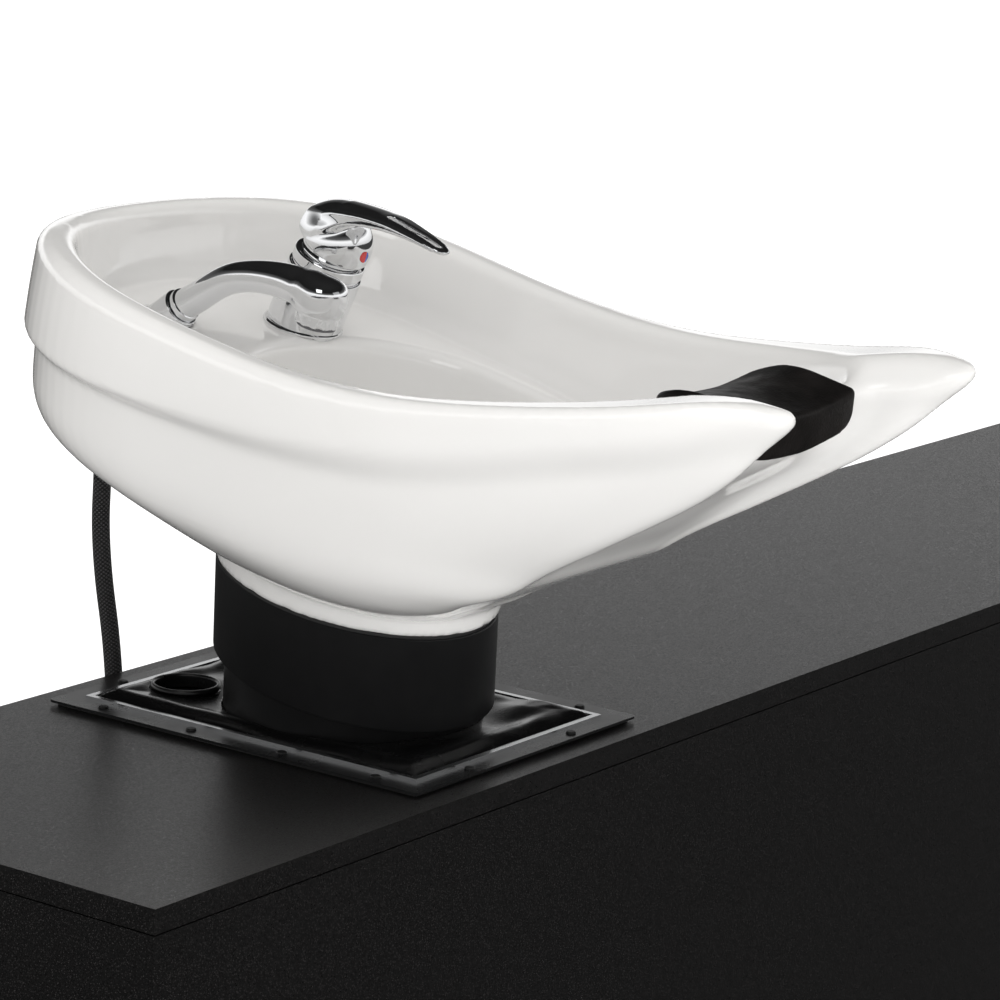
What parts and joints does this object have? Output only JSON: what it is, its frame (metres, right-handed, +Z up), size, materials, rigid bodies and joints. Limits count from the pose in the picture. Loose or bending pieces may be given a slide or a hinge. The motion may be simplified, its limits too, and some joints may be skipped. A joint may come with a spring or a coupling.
{
  "type": "tilting hair washing basin on a cabinet",
  "caption": "Deep tilting salon wash basin with a neck notch and rest, mixer tap and pull-out hand shower, on a tilting foot over a long black cabinet.",
  "frame": {"origin": "on the floor, in the middle of the cabinet's footprint", "axes": "+Z up, +X to the right along the cabinet, -Y towards the client"},
  "size_m": [1.96, 0.7442, 1.026],
  "materials": {
    "laminate": "black satin laminate with a fine speckle",
    "board": "black melamine board",
    "screws": "zinc plated steel",
    "black_screws": "black plated steel",
    "hinge_steel": "satin steel",
    "black_plastic": "matte",
    "black_rubber": "matte",
    "black_gloss": "gloss",
    "bright_edge": "bright anodised",
    "skirt_vinyl": "soft glossy vinyl",
    "steel_plate": "black powder coat",
    "black_tube": "matte",
    "bush_plastic": "matte",
    "glazed_basin": "white glaze",
    "chrome": "polished",
    "brass_nut": "plain",
    "grey_plastic": "satin",
    "red_dot": "red and blue enamel",
    "grey_rubber": "matte",
    "hose_black": "woven sheath over rubber",
    "rest_black": "soft black gel skin"
  },
  "bodies": {
    "cabinet": {"cabinet_top": "laminate", "front_panel": "laminate", "end_panels": "laminate", "cabinet_dividers": "board", "bottom_panel": "board", "top_rails": "board", "plinth": "laminate", "rear_panels": "laminate", "rear_screws": "screws", "door_hinge_fixed": "hinge_steel", "door_hinge_pins": "hinge_steel", "door_catch": "black_plastic", "frame_gasket": "black_rubber", "mounting_frame": "black_gloss", "frame_screws": "black_screws", "bright_strip": "bright_edge", "splash_skirt": "skirt_vinyl", "hose_ring": "black_gloss", "base_plate": "steel_plate", "base_bolts": "screws", "base_nuts": "screws", "base_tube": "black_tube", "axle_cheeks": "steel_plate", "stub_axles": "steel_plate", "friction_discs": "black_rubber", "waste_cup": "grey_plastic", "trap_body": "grey_plastic", "trap_nuts": "grey_plastic", "rear_rosettes": "chrome", "shower_hose": "hose_black", "hose_union": "chrome", "union_nut": "brass_nut"},
    "basin": {"tilt_sleeve": "black_tube", "carrier": "steel_plate", "carrier_bushes": "bush_plastic", "carrier_bolts": "screws", "foot_gasket": "black_rubber", "basin": "glazed_basin", "drain_body": "chrome", "drain_gasket": "black_rubber", "drain_nut": "brass_nut", "tap_foot": "chrome", "tap_body": "chrome", "tap_washer": "black_rubber", "tap_nut": "brass_nut", "tap_ring": "chrome", "shower_socket": "chrome", "socket_nut": "brass_nut"},
    "tap_neck": {"tap_neck": "chrome"},
    "tap_lever": {"tap_hood": "chrome", "temperature_dot": "red_dot"},
    "shower": {"shower_body": "chrome", "shower_rose": "grey_rubber", "shower_tail_nut": "chrome"},
    "neck_rest": {"neck_rest": "rest_black"},
    "strainer": {"strainer": "chrome"},
    "door": {"service_door": "laminate", "door_hinge_moving": "hinge_steel", "door_knob": "black_plastic"}
  },
  "joints": [
    {"name": "basin_tilt", "type": "hinge", "parent": "cabinet", "child": "basin", "pos_m": [-0.52, -0.0085, 0.6775], "axis": [1, 0, 0], "range_deg": [-15, 0], "deforming": ["shower_hose"]},
    {"name": "tap_turn", "type": "hinge", "parent": "basin", "child": "tap_neck", "pos_m": [-0.468, 0.07304, 0.97777], "axis": [0, -0.3987, 0.9171], "range_deg": [-35, 35]},
    {"name": "tap_lift", "type": "hinge", "parent": "tap_neck", "child": "tap_lever", "pos_m": [-0.468, 0.06467, 0.99702], "axis": [-1, 0, 0], "range_deg": [0, 25]},
    {"name": "shower_pull", "type": "slide", "parent": "basin", "child": "shower", "axis": [0, -0.8141, 0.5807], "range_m": [0, 0.045]},
    {"name": "neck_rest_lift", "type": "slide", "parent": "basin", "child": "neck_rest", "axis": [0, -0.2164, 0.9763], "range_m": [0, 0.08]},
    {"name": "strainer_lift", "type": "slide", "parent": "basin", "child": "strainer", "axis": [0, -0.2164, 0.9763], "range_m": [0, 0.08]},
    {"name": "door_swing", "type": "hinge", "parent": "cabinet", "child": "door", "pos_m": [0.113, 0.2049, 0.351], "axis": [0, 0, -1], "range_deg": [0, 105]}
  ]
}
